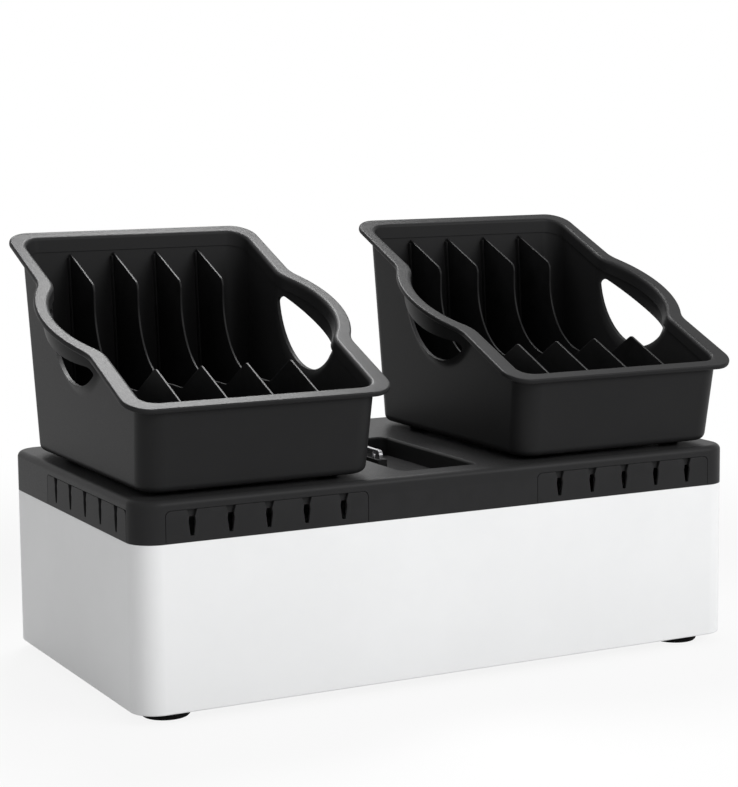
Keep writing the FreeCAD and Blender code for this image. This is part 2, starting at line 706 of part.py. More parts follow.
def ball(label, sign, radius):
    """Ball of the bulge on one side of a tray."""
    sphere = doc.addObject("Part::Sphere", label)
    tie(sphere, Radius=radius)
    rim_place(sphere, "%d * (%s - bulge_radius)" % (sign, BULGE_EDGE), "0", "bulge_rise")
    # The ball's seam line faces the middle of the tray, where it is cut away.
    sphere.Placement.Rotation = sphere.Placement.Rotation * Rotation(Vector(0, 0, 1), 90 + 90 * sign)
    return sphere


def upright(edge):
    """Whether an edge runs from a lower to a higher level without lying flat."""
    first, last = ends(edge)
    return abs(first.z - last.z) > 0.5 * edge.Length


def circle_on_wall(edge):
    """Whether an edge is the round line where a bulge meets a side wall."""
    if edge.Degenerated:
        return False
    return isinstance(edge.Curve, Part.Circle) and abs(edge.Curve.Axis.x) > 0.9


def tub(name, low, inset, bulge, blend):
    """Drafted tub with a bulge on each side: a tray's outer form, its cavity or its mouth."""
    tall = "(rim_height + (rim_back + rim_corner) * sin(rim_slope * 1 deg) + 2 * bulge_rise)"
    block = wedge(name + "_block", low, tall, "tray_width", "tray_depth", inset)
    body = rounded(block, "tray_corner - %s" % inset, upright)
    body = rounded(body, "tray_sole - %s" % inset, level("z", low))
    balls = [ball("%s_%s_ball" % (name, side), sign, bulge) for side, sign in SIDES]
    return rounded(joined(name + "_tub", [body] + balls), blend, circle_on_wall)


def flange(name):
    """Slanted rim that swells out over both grips, rounded on its outer edges."""
    plate = rim_block(name + "_plate", "rim_width", "rim_front", "rim_back", "-rim_thick", "0")
    turn = Rotation(Vector(1, 0, 0), -value("rim_slope"))

    def square_to_rim(edge):
        first, last = ends(edge)
        return abs(abs(turn.multVec(last - first).z) - value("rim_thick")) < TINY

    plate = rounded(plate, "rim_corner", square_to_rim)
    discs = []
    for side, sign in SIDES:
        disc = doc.addObject("Part::Cylinder", "%s_%s_disc" % (name, side))
        tie(disc, Radius="ear_radius", Height="rim_thick")
        rim_place(disc, "%d * (%s - ear_radius)" % (sign, EAR_EDGE), "0", "-rim_thick")
        discs.append(disc)
    whole = joined(name + "_ears", [plate] + discs)
    whole.Refine = True
    reach = value("ear_radius")

    def inner_corner(edge):
        return square_to_rim(edge) and abs(edge.Vertexes[0].Y) < reach * 0.8

    smooth = rounded(whole, "ear_fillet", inner_corner)
    return rounded(smooth, "rim_round", lambda edge: not square_to_rim(edge))


def mouth(ring):
    """A test for the edges round a tray's mouth: the inner outline of the flat face on its rim."""
    doc.recompute()
    up = Rotation(Vector(1, 0, 0), value("rim_slope")).multVec(Vector(0, 0, 1))
    flat = [face for face in ring.Shape.Faces
            if isinstance(face.Surface, Part.Plane) and face.normalAt(0, 0).dot(up) > 1 - TINY]
    rim = max(flat, key=lambda face: face.CenterOfMass.dot(up))
    inner = [edge for wire in rim.Wires if not wire.isSame(rim.OuterWire) for edge in wire.Edges]
    return lambda edge: any(edge.isSame(other) for other in inner)


def cross_bar(label, radius, above):
    """Round bar right across a tray, at a height above its rim; its seam line lies on top."""
    bar = doc.addObject("Part::Cylinder", label)
    tie(bar, Radius=radius, Height="2 * base_width")
    rim_place(bar, "base_width", "0", above)
    bar.Placement.Rotation = Rotation(Vector(0, 1, 0), -90)
    return bar


def guides(name):
    """Pairs of ribs on the front and back walls that hold the dividers."""
    low = "(tray_floor / 2)"
    front_top = "(rim_height - rim_front * sin(rim_slope * 1 deg) - guide_drop)"
    back_top = "(rim_height + tray_depth / 2 * tan(rim_slope * 1 deg) - guide_drop - guide_depth)"
    near = "%s(tray_depth / 2 - tray_wall - guide_depth + %s * tan(%s * 1 deg))"
    far = "%s(tray_depth / 2 - tray_wall / 2 + %s * tan(%s * 1 deg))"
    ribs = []
    for wall, way, draft, top, inner, outer in (
            ("front", "", "front_draft", front_top, "Z%smin", "Z%smax"),
            ("back", "-", "back_draft", back_top, "Z%smax", "Z%smin")):
        for number in range(DIVIDERS):
            for side, step in SIDES:
                rib = doc.addObject("Part::Wedge", "%s_%s_rib_%d_%s" % (name, wall, number, side))
                middle = "(%s + %d * (%s + guide_wall) / 2)" % (divider_x(number), step, GUIDE_GAP)
                for end, height in (("", low), ("2", top)):
                    tie(rib, **{"X%smin" % end: middle + " - guide_wall / 2",
                                "X%smax" % end: middle + " + guide_wall / 2",
                                inner % end: near % (way, height, draft),
                                outer % end: far % (way, height, draft)})
                tie(rib, Ymin=low, Ymax=top)
                rib.Placement.Rotation = Rotation(Vector(1, 0, 0), 90)
                ribs.append(rib)
    return ribs


def divider_x(number):
    """Place of a divider across its tray."""
    return "%g * divider_pitch" % (number - (DIVIDERS - 1) / 2)


def tray(side, sign):
    """Moulded tray: drafted tub, slanted swelling rim, two bulged grips and divider guides."""
    name = side + "_tray"
    far = "2 * base_width"
    outer = tub(name + "_outer", "0", "0", "bulge_radius", "bulge_blend")
    cavity = tub(name + "_cavity", "tray_floor", "tray_wall",
                 "bulge_radius - tray_wall", "bulge_blend + tray_wall")
    brim = tub(name + "_brim", "tray_floor", "(tray_wall + brim_step)",
               "bulge_radius + ear_overhang - brim_width", "brim_blend")
    sky = rim_block(name + "_sky", far, "base_width", "base_width", "-rim_thick", "base_width")
    top = rim_block(name + "_top", far, "base_width", "base_width", "-brim_height", "base_width")
    below = less(name + "_below", outer, sky)
    walls = less(name + "_walls", below, cavity)
    band = less(name + "_band", shared(name + "_slab", [below, top]), brim)
    ring = less(name + "_ring", flange(name), brim)
    shell = joined(name + "_shell", [walls, band, rounded(ring, "rim_lead", mouth(ring))])
    shell.Refine = True
    hole = cross_bar(name + "_hole", "grip_radius", "grip_rise")
    strap = cross_bar(name + "_strap", "grip_arch", "grip_arch - grip_drop")
    opening = rounded(less(name + "_opening", hole, strap), "grip_corner", along("x"))
    gripped = less(name + "_gripped", shell, opening)
    whole = joined(name + "_whole", [gripped] + guides(name))
    whole.Refine = True
    move(whole, "%d * %s" % (sign, TRAY_X), "-tray_forward", TRAY_LOW)
    named(whole, name)
    spots = [("%d * %s + %d * (tray_width / 2 - pad_inset)" % (sign, TRAY_X, i),
              "-tray_forward + %d * (tray_depth / 2 - pad_inset)" % k) for i, k in CORNERS]
    radius = value("pad_radius")
    high = value("pad_height")
    edge = value("pad_edge")
    profile = [(0, 0), (radius - edge, 0), (radius, edge), (radius, high), (0, high)]
    revolve(name + "_pads", profile, [(x, y, LID_TOP) for x, y in spots])


def divider(side, sign, number):
    """Thin panel with a deep scoop, dropped between its guides."""
    body = new_body("%s_divider_%d" % (side, number + 1))
    move(body, "%d * %s + %s" % (sign, TRAY_X, divider_x(number)), "-tray_forward", TRAY_LOW)
    slope = "tan(rim_slope * 1 deg)"
    front = "tan(front_draft * 1 deg)"
    back = "tan(back_draft * 1 deg)"
    start = "(rim_height - divider_drop)"
    inset = "(tray_depth / 2 - tray_wall - brim_step - divider_play)"
    front_y = "(-(%s + %s * %s) / (1 + %s * %s))" % (inset, start, front, slope, front)
    back_y = "((%s + %s * %s) / (1 - %s * %s))" % (inset, start, back, slope, back)
    low = "tray_floor"
    corners = [
        ("-(%s + %s * %s)" % (inset, low, front), low),
        ("%s + %s * %s" % (inset, low, back), low),
        (back_y, "%s + %s * %s" % (start, back_y, slope)),
        ("scoop_back", "%s + scoop_back * %s" % (start, slope)),
        ("scoop_back", "scoop_low"),
        ("-scoop_front", "scoop_low"),
        ("-peak_front", "%s - peak_front * %s" % (start, slope)),
        (front_y, "%s + %s * %s" % (start, front_y, slope)),
    ]
    pad(body, draw(body, "YZ_Plane", "0", [polygon(corners)]), "divider_thick", both_ways=True)
    for radius, spots in (("scoop_radius", (4,)), ("scoop_bend", (5,)), ("divider_knee", (3,)),
                          ("divider_peak", (6,)), ("tray_sole", (0, 1))):
        points = [(value(corners[i][0]), value(corners[i][1])) for i in spots]

        def at_corner(edge, points=points):
            point = edge.Vertexes[0].Point
            return along("x")(edge) and any(math.hypot(point.y - y, point.z - z) < TINY for y, z in points)

        soften(body, radius, at_corner)


# Power strip and mains inlet

def strip():
    """Power strip along the back wall: housing, cover, outlets, rocker switch and screws."""
    bottom = "foot_height + base_floor"
    housing = new_body("strip_housing")
    move(housing, y=STRIP_MID, z=bottom)
    pad(housing, draw(housing, "XY_Plane", "0", [oblong("strip_length", "strip_width")]), "strip_height")
    soften(housing, "strip_round", along("z"))
    tabs = [oblong("4 * screw_head", "2 * screw_head", "%d * strip_length / 2" % sign)
            for side, sign in SIDES]
    pad(housing, draw(housing, "XY_Plane", "0", tabs), "strip_tab")
    bores = [(x, "0") for x, y in strip_feet()]
    pocket(housing, draw_circles(housing, "XY_Plane", "strip_tab", BORE, bores), "strip_tab")
    wells = [oblong("outlet_width + 2 * fit_gap", "outlet_depth + 2 * fit_gap", outlet_x(i), "0")
             for i in range(OUTLETS)]
    pocket(housing, draw(housing, "XY_Plane", "strip_height", wells), "outlet_body")
    pocket(housing, draw(housing, "XY_Plane", "strip_height",
                         [oblong(*switch_room(), "rocker_place", "0")]), "outlet_body")
    pocket(housing, draw_circles(housing, "XY_Plane", "strip_height", BORE, cover_screws()),
           "screw_reach + screw_room")
    cover = new_body("strip_cover")
    move(cover, y=STRIP_MID, z=bottom + " + strip_height")
    windows = [oblong("outlet_width + 2 * fit_gap", "outlet_depth + 2 * fit_gap", outlet_x(i), "0")
               for i in range(OUTLETS)]
    windows.append(oblong(*switch_room(), "rocker_place", "0"))
    pad(cover, draw(cover, "XY_Plane", "0", [oblong("strip_length", "strip_width")]), "strip_cover")
    soften(cover, "strip_round", along("z"))
    soften(cover, "strip_cover / 2", level("z", "strip_cover"))
    pocket(cover, draw(cover, "XY_Plane", "strip_cover", windows), "strip_cover")
    pocket(cover, draw_circles(cover, "XY_Plane", "strip_cover", BORE, cover_screws()),
           "strip_cover")
    for number in range(OUTLETS):
        outlet(number, bottom)
    rocker(bottom)
    tops = [(x, STRIP_MID + " + " + y, bottom + " + strip_height + strip_cover") for x, y in cover_screws()]
    revolve("strip_cover_screws", screw_profile(), tops)
    revolve("strip_foot_screws", screw_profile(), [(x, y, bottom + " + strip_tab") for x, y in strip_feet()])


def switch_room():
    """Width and depth of the hole for the rocker's sleeve."""
    around = " + 2 * (rocker_play + bezel_wall + fit_gap)"
    return "rocker_length" + around, "rocker_width" + around


def outlet_x(number):
    """Place of an outlet along the strip."""
    return "%g * outlet_pitch - screw_head" % (number - (OUTLETS - 1) / 2)


def cover_screws():
    """Places of the cover's screws, between the outlets."""
    return [("%g * outlet_pitch - screw_head" % step, "0") for step in (-4, -1, 1, 4)]


def outlet(number, bottom):
    """Outlet insert with two flat slots and a round earth hole."""
    body = new_body("outlet_%02d" % (number + 1))
    move(body, outlet_x(number), STRIP_MID, bottom + " + strip_height - outlet_body")
    tall = "(outlet_body + strip_cover + outlet_proud)"
    pad(body, draw(body, "XY_Plane", "0", [oblong("outlet_width", "outlet_depth")]), tall)
    soften(body, "outlet_corner", along("z"))
    soften(body, "outlet_proud", level("z", tall))
    blades = [oblong("blade_width", "blade_height", "%d * blade_spread" % sign, "blade_step")
              for side, sign in SIDES]
    pocket(body, draw(body, "XY_Plane", tall, blades), "outlet_body")
    pocket(body, draw_circles(body, "XY_Plane", tall, "earth_radius", [("0", "-earth_step")]), "outlet_body")


def rocker(bottom):
    """Rocker switch: a bezel in the cover and a rocker that tilts in it, pressed on the right at rest."""
    bezel = new_body("switch_frame")
    move(bezel, "rocker_place", STRIP_MID, bottom + " + strip_height + strip_cover")
    gap = ("rocker_length + 2 * rocker_play", "rocker_width + 2 * rocker_play")
    sleeve = [side + " + 2 * bezel_wall" for side in gap]
    rim = [side + " + 2 * bezel_rim" for side in gap]
    pad(bezel, draw(bezel, "XY_Plane", "0", [oblong(*rim), oblong(*gap)]), "bezel_rise")
    pad(bezel, draw(bezel, "XY_Plane", "-strip_cover - bezel_depth", [oblong(*sleeve), oblong(*gap)]),
        "strip_cover + bezel_depth")
    key = new_body("switch_rocker")
    move(key, "rocker_place", STRIP_MID, bottom + " + strip_height + strip_cover")
    key.Placement.Rotation = Rotation(Vector(0, 1, 0), value("rocker_tilt / 2"))
    step = "(rocker_length / 2 * tan(rocker_tilt / 2 * 1 deg))"
    low = step + " - rocker_sink"
    high = "rocker_rise + 2 * " + step
    shape = [("-rocker_length / 2", low), ("0", "-rocker_sink"), ("rocker_length / 2", low),
             ("rocker_length / 2", high), ("0", "rocker_rise"), ("-rocker_length / 2", high)]
    pad(key, draw(key, "XZ_Plane", "0", [polygon(shape)]), "rocker_width", both_ways=True)


def inlet():
    """Three-pin mains inlet in the back wall, with its flange outside."""
    body = new_body("mains_inlet")
    move(body, INLET_X, "base_depth / 2", "foot_height + inlet_level")
    flange_shape = oblong("inlet_flange", "inlet_height + 2 * inlet_margin")
    pad(body, draw(body, "XZ_Plane", "-inlet_plate", [flange_shape]), "inlet_plate")
    soften(body, "inlet_corner", along("y"))
    deep = "(%s + strip_gap - fit_gap)" % WALL
    pad(body, draw(body, "XZ_Plane", "0", [oblong("inlet_width", "inlet_height")]), deep)
    hollow = oblong("inlet_width - 2 * inlet_wall", "inlet_height - 2 * inlet_wall")
    pocket(body, draw(body, "XZ_Plane", "-inlet_plate", [hollow]),
           deep + " + inlet_plate - inlet_wall", upward=True)
    bores = [("%d * (inlet_flange / 2 - screw_head / 2 - screw_edge)" % sign, "0") for side, sign in SIDES]
    pocket(body, draw_circles(body, "XZ_Plane", "-inlet_plate / 2", BORE, bores),
           "2 * inlet_plate", both_ways=True)
    pins = new_body("inlet_pins")
    move(pins, INLET_X, "base_depth / 2", "foot_height + inlet_level")
    spots = (("-pin_spread", "-pin_step"), ("pin_spread", "-pin_step"), ("0", "pin_step"))
    blades = [oblong("pin_width", "pin_height", x, z) for x, z in spots]
    pad(pins, draw(pins, "XZ_Plane", "pin_recess", blades), deep + " - inlet_wall - pin_recess")
    revolve("inlet_screws", screw_profile(),
            [(x, "base_depth / 2 + inlet_plate", "foot_height + " + z) for x, z in inlet_screws()],
            Rotation(Vector(1, 0, 0), -90))


base_shell()
feet()
lock_eye()
combs()
lid()
for tray_side, tray_sign in SIDES:
    tray(tray_side, tray_sign)
    for divider_number in range(DIVIDERS):
        divider(tray_side, tray_sign, divider_number)
strip()
inlet()
doc.recompute()

for item in doc.Objects:
    if "Invalid" in item.State or "Error" in item.State:
        raise ValueError("%s didn't build: %s" % (item.Name, item.State))
for item in FINISHED:
    if item.Shape.isNull() or not item.Shape.isValid():
        raise ValueError("%s has no valid shape" % item.Label)
os.makedirs("parts", exist_ok=True)
for item in FINISHED:
    item.Shape.exportStep("parts/%s.step" % item.Label)
    print(item.Label, len(item.Shape.Solids), round(item.Shape.Volume / 1000, 1), "cm3")
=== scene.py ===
import json
import logging
import math
from dataclasses import dataclass
from enum import Enum
from typing import ClassVar

import bmesh
import bpy
from mathutils import Matrix, Vector

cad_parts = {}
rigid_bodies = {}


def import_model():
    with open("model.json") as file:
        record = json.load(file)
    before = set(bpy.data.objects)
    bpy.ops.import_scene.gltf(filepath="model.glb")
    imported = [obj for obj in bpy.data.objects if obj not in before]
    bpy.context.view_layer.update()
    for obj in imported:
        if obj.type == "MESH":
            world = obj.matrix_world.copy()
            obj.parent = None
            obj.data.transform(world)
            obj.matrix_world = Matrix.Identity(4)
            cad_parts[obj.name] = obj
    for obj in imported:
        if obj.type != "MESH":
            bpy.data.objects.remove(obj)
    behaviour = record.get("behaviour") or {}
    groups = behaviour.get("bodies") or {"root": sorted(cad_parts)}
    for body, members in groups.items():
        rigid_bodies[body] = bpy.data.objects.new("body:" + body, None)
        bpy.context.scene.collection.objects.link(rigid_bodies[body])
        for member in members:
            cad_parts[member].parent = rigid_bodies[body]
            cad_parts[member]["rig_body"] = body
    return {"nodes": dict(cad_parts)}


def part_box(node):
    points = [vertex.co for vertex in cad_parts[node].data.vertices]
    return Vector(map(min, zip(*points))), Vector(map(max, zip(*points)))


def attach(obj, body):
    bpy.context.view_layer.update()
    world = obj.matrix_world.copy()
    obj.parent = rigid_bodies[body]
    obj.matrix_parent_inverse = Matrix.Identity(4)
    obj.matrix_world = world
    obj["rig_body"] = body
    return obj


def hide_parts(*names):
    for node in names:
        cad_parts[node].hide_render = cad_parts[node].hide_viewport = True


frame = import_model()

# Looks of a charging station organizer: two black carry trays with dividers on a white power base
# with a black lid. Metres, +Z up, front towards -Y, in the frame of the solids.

LOG = logging.getLogger("charging_station")
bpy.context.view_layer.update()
MM = 0.001
OPAQUE = 1.0
WHOLE = 1.0
LINE_STRETCH = 0.02
WHITE = (1.0, 1.0, 1.0, OPAQUE)
MID_GREY = (0.5, 0.5, 0.5, OPAQUE)
Colour = tuple[float, float, float]
Point = tuple[float, float, float]


class Effect(Enum):
    """Surface effects that several finishes share."""

    GRAIN = "moulded_grain"
    CLOUD = "cloudy_tone"
    # Lighter edges: partly rubbed wear, partly a painted highlight along them.
    EDGE = "edge_polish"
    DUST = "settled_dust"
    BRUSH = "brushed_lines"


class Direction(Enum):
    """Ways that brushed lines may run, as the stretch of their pattern on each axis."""

    ALONG_X = (LINE_STRETCH, 1.0, 1.0)
    ALONG_Y = (1.0, LINE_STRETCH, 1.0)


class Side(Enum):
    """Sides of the station, seen from the front."""

    LEFT = "left"
    RIGHT = "right"


# Shader nodes


@dataclass(frozen=True)
class Noise:
    """A noise texture and the limits between which its values fade in.

    Attributes:
        scale: Features per metre, where no socket sets them.
        detail: Octaves of the noise.
        limits: Values that become 0 and 1 in the mask.
        roughness: Weight of the finer octaves.
    """

    scale: float
    detail: float
    limits: tuple[float, float]
    roughness: float = 0.5


class Wiring:
    """A tree of shader nodes under construction."""

    def __init__(self, tree: bpy.types.NodeTree) -> None:
        """Take up a tree.

        Args:
            tree: The nodes of a material, a world or a group.
        """
        self.tree = tree

    def node(self, kind: str, **settings: object) -> bpy.types.Node:
        """Add a node.

        Args:
            kind: The node's type without its ShaderNode prefix.
            settings: Properties of the node.

        Returns:
            The new node.
        """
        made = self.tree.nodes.new("ShaderNode" + kind)
        for name, setting in settings.items():
            setattr(made, name, setting)
        return made

    def link(self, source: bpy.types.NodeSocket, target: bpy.types.NodeSocket) -> None:
        """Join two sockets."""
        self.tree.links.new(source, target)

    def feed(self, target: bpy.types.NodeSocket, source: object) -> None:
        """Give an input its value.

        Args:
            target: The input.
            source: A socket to link, or a plain value.
        """
        if isinstance(source, bpy.types.NodeSocket):
            self.link(source, target)
        else:
            target.default_value = source

    def combine(self, operation: str, first: bpy.types.NodeSocket,
                second: bpy.types.NodeSocket) -> bpy.types.NodeSocket:
        """Add a product, maximum or the like of two values.

        Args:
            operation: The Math node's operation.
            first: The socket with the first value.
            second: The socket with the second value.

        Returns:
            The socket with the result.
        """
        made = self.node("Math", operation=operation)
        self.link(first, made.inputs[0])
        self.link(second, made.inputs[1])
        return made.outputs[0]

    def fade(self, source: bpy.types.NodeSocket, low: float, high: float,
             least: float = 0.0) -> bpy.types.NodeSocket:
        """Stretch the values between two limits up to 1, smoothly.

        Args:
            source: The socket to read.
            low: The value that becomes the least.
            high: The value that becomes 1.
            least: The least value put out.

        Returns:
            The socket with the stretched value.
        """
        made = self.node("MapRange", interpolation_type="SMOOTHSTEP")
        made.inputs["From Min"].default_value = low
        made.inputs["From Max"].default_value = high
        made.inputs["To Min"].default_value = least
        self.link(source, made.inputs["Value"])
        return made.outputs["Result"]

    def between(self, mask: bpy.types.NodeSocket, low: float, high: float) -> bpy.types.NodeSocket:
        """Turn a mask of 0 to 1 into values between two limits.

        Args:
            mask: The socket to read.
            low: The value where the mask is 0.
            high: The value where the mask is 1.

        Returns:
            The socket with the value.
        """
        made = self.node("MapRange")
        made.inputs["To Min"].default_value = low
        made.inputs["To Max"].default_value = high
        self.link(mask, made.inputs["Value"])
        return made.outputs["Result"]

    def place(self) -> bpy.types.NodeSocket:
        """Give the point on the surface, in the object's own metres."""
        return self.node("TexCoord").outputs["Object"]

    def shared(self, group: bpy.types.NodeTree, values: dict[str, object]) -> bpy.types.Node:
        """Place a shared effect with its own values.

        Args:
            group: The effect's group.
            values: The values of its inputs, by name.

        Returns:
            The node that holds the group.
        """
        made = self.node("Group", node_tree=group)
        for name, value in values.items():
            made.inputs[name].default_value = value
        return made


class NodeGroup(Wiring):
    """A shader node group under construction, with named sockets."""

    def __init__(self, effect: Effect) -> None:
        """Start an empty group.

        Args:
            effect: The effect that the group makes; its value names the group.
        """
        super().__init__(bpy.data.node_groups.new(effect.value, "ShaderNodeTree"))
        self.entry = self.tree.nodes.new("NodeGroupInput")
        self.exit = self.tree.nodes.new("NodeGroupOutput")

    def takes(self, name: str, kind: str, default: object) -> bpy.types.NodeSocket:
        """Add an input socket.

        Args:
            name: The socket's name.
            kind: Float or Color.
            default: The socket's value where nothing is set.

        Returns:
            The socket that hands the input on inside the group.
        """
        socket = self.tree.interface.new_socket(name, in_out="INPUT", socket_type="NodeSocket" + kind)
        socket.default_value = default
        return self.entry.outputs[name]

    def gives(self, name: str, kind: str, source: bpy.types.NodeSocket) -> None:
        """Add an output socket.

        Args:
            name: The socket's name.
            kind: Float or Color.
            source: The socket inside the group that it puts out.
        """
        self.tree.interface.new_socket(name, in_out="OUTPUT", socket_type="NodeSocket" + kind)
        self.link(source, self.exit.inputs[name])

    def noise(self, look: Noise, point: bpy.types.NodeSocket,
              scale: bpy.types.NodeSocket | None = None) -> bpy.types.NodeSocket:
        """Add a noise texture.

        Args:
            look: The noise's own values.
            point: The place on the surface.
            scale: A socket with the features per metre, or None for the noise's own.

        Returns:
            The socket with the noise's value.
        """
        made = self.node("TexNoise", noise_dimensions="3D")
        made.inputs["Detail"].default_value = look.detail
        made.inputs["Roughness"].default_value = look.roughness
        self.link(point, made.inputs["Vector"])
        self.feed(made.inputs["Scale"], look.scale if scale is None else scale)
        return made.outputs[0]

    def gives_blend(self, mask: bpy.types.NodeSocket, first: bpy.types.NodeSocket, second: object) -> None:
        """Put out a colour mixed from two, and the mask of the second.

        Args:
            mask: The second colour's share.
            first: The socket with the first colour.
            second: A socket with the second colour, or the colour itself.
        """
        mix = self.node("Mix", data_type="RGBA")
        self.link(mask, mix.inputs["Factor"])
        self.link(first, mix.inputs["A"])
        self.feed(mix.inputs["B"], second)
        self.gives("Colour", "Color", mix.outputs["Result"])
        self.gives("Mask", "Float", mask)


# Shared effects


class Effects:
    """The shared effect groups, each built once.

    Attributes:
        EDGE_POINTINESS: Pointiness at which the lighter edges, wear and painted highlight, start and at which
            they are full.
        UPWARD_TILT: Upward part of the normal at which dust starts and at which it is full.
        DUST_COLOUR: Colour of the dust.
        groups: The finished groups.
    """

    TOOL_GRAIN: ClassVar[Noise] = Noise(scale=1200.0, detail=3.0, limits=(0.35, 0.65))
    RESIN_CLOUD: ClassVar[Noise] = Noise(scale=9.0, detail=4.0, limits=(0.3, 0.7), roughness=0.6)
    # Patches that break up the lighter edges, of wear and painted highlight alike.
    EDGE_PATCH: ClassVar[Noise] = Noise(scale=60.0, detail=3.0, limits=(0.25, 0.6))
    DUST_SPECKS: ClassVar[Noise] = Noise(scale=420.0, detail=5.0, limits=(0.42, 0.74))
    BRUSH_LINES: ClassVar[Noise] = Noise(scale=2600.0, detail=2.0, limits=(0.3, 0.7))
    EDGE_POINTINESS: ClassVar[tuple[float, float]] = (0.505, 0.56)
    UPWARD_TILT: ClassVar[tuple[float, float]] = (0.55, 1.0)
    DUST_COLOUR: ClassVar[Colour] = (0.42, 0.41, 0.39)

    def __init__(self) -> None:
        """Build every group."""
        self.groups: dict[Effect, bpy.types.NodeTree] = {
            Effect.GRAIN: self.moulded_grain(),
            Effect.CLOUD: self.cloudy_tone(),
            Effect.EDGE: self.edge_polish(),
            Effect.DUST: self.settled_dust(),
            Effect.BRUSH: self.brushed_lines(),
        }

    def moulded_grain(self) -> bpy.types.NodeTree:
        """Fine eroded texture of a moulding tool.

        Returns:
            A group with Scale in grains per metre and outputs Height and Mask.
        """
        group = NodeGroup(Effect.GRAIN)
        scale = group.takes("Scale", "Float", self.TOOL_GRAIN.scale)
        point = group.place()
        fine = group.noise(self.TOOL_GRAIN, point, scale)
        pits = group.node("TexVoronoi", feature="SMOOTH_F1")
        group.link(point, pits.inputs["Vector"])
        group.link(scale, pits.inputs["Scale"])
        group.gives("Height", "Float", group.combine("MULTIPLY", fine, pits.outputs["Distance"]))
        group.gives("Mask", "Float", group.fade(fine, *self.TOOL_GRAIN.limits))
        return group.tree

    def cloudy_tone(self) -> bpy.types.NodeTree:
        """Faint cloudy change of tone, as resin flows and handling leave it.

        Returns:
            A group with Colour, Shade and Scale and outputs Colour and Mask.
        """
        group = NodeGroup(Effect.CLOUD)
        colour = group.takes("Colour", "Color", MID_GREY)
        shade = group.takes("Shade", "Color", MID_GREY)
        scale = group.takes("Scale", "Float", self.RESIN_CLOUD.scale)
        cloud = group.noise(self.RESIN_CLOUD, group.place(), scale)
        group.gives_blend(group.fade(cloud, *self.RESIN_CLOUD.limits), colour, shade)
        return group.tree

    def edge_polish(self) -> bpy.types.NodeTree:
        """Edges made lighter: partly wear that hands and cloths rub, partly a painted highlight along them.

        Returns:
            A group with Colour, Worn and Amount and outputs Colour and Mask.
        """
        group = NodeGroup(Effect.EDGE)
        colour = group.takes("Colour", "Color", MID_GREY)
        worn_and_highlight = group.takes("Worn and Highlight", "Color", MID_GREY)
        amount = group.takes("Amount", "Float", WHOLE)
        sharp = group.fade(group.node("NewGeometry").outputs["Pointiness"], *self.EDGE_POINTINESS)
        patch = group.noise(self.EDGE_PATCH, group.place())
        edge_patches = group.fade(patch, *self.EDGE_PATCH.limits)
        broken = group.combine("MULTIPLY", sharp, edge_patches)
        group.gives_blend(group.combine("MULTIPLY", broken, amount), colour, worn_and_highlight)
        return group.tree

    def settled_dust(self) -> bpy.types.NodeTree:
        """Thin dust on faces that look upward.

        Returns:
            A group with Colour and Amount and outputs Colour and Mask.
        """
        group = NodeGroup(Effect.DUST)
        colour = group.takes("Colour", "Color", MID_GREY)
        amount = group.takes("Amount", "Float", WHOLE)
        split = group.node("SeparateXYZ")
        group.link(group.node("NewGeometry").outputs["Normal"], split.inputs[0])
        upward = group.fade(split.outputs["Z"], *self.UPWARD_TILT)
        specks = group.noise(self.DUST_SPECKS, group.place())
        fallen = group.fade(specks, *self.DUST_SPECKS.limits)
        lying = group.combine("MULTIPLY", upward, fallen)
        group.gives_blend(group.combine("MULTIPLY", lying, amount), colour, (*self.DUST_COLOUR, OPAQUE))
        return group.tree

    def brushed_lines(self) -> bpy.types.NodeTree:
        """Fine parallel scratches of brushed metal.

        Returns:
            A group with Stretch X, Stretch Y and Stretch Z and outputs Height and Mask.
        """
        group = NodeGroup(Effect.BRUSH)
        stretch = group.node("CombineXYZ")
        for axis in ("X", "Y", "Z"):
            group.link(group.takes("Stretch " + axis, "Float", WHOLE), stretch.inputs[axis])
        scaled = group.node("VectorMath", operation="MULTIPLY")
        group.link(group.place(), scaled.inputs[0])
        group.link(stretch.outputs[0], scaled.inputs[1])
        lines = group.noise(self.BRUSH_LINES, scaled.outputs[0])
        group.gives("Height", "Float", lines)
        group.gives("Mask", "Float", group.fade(lines, *self.BRUSH_LINES.limits))
        return group.tree


# Finishes


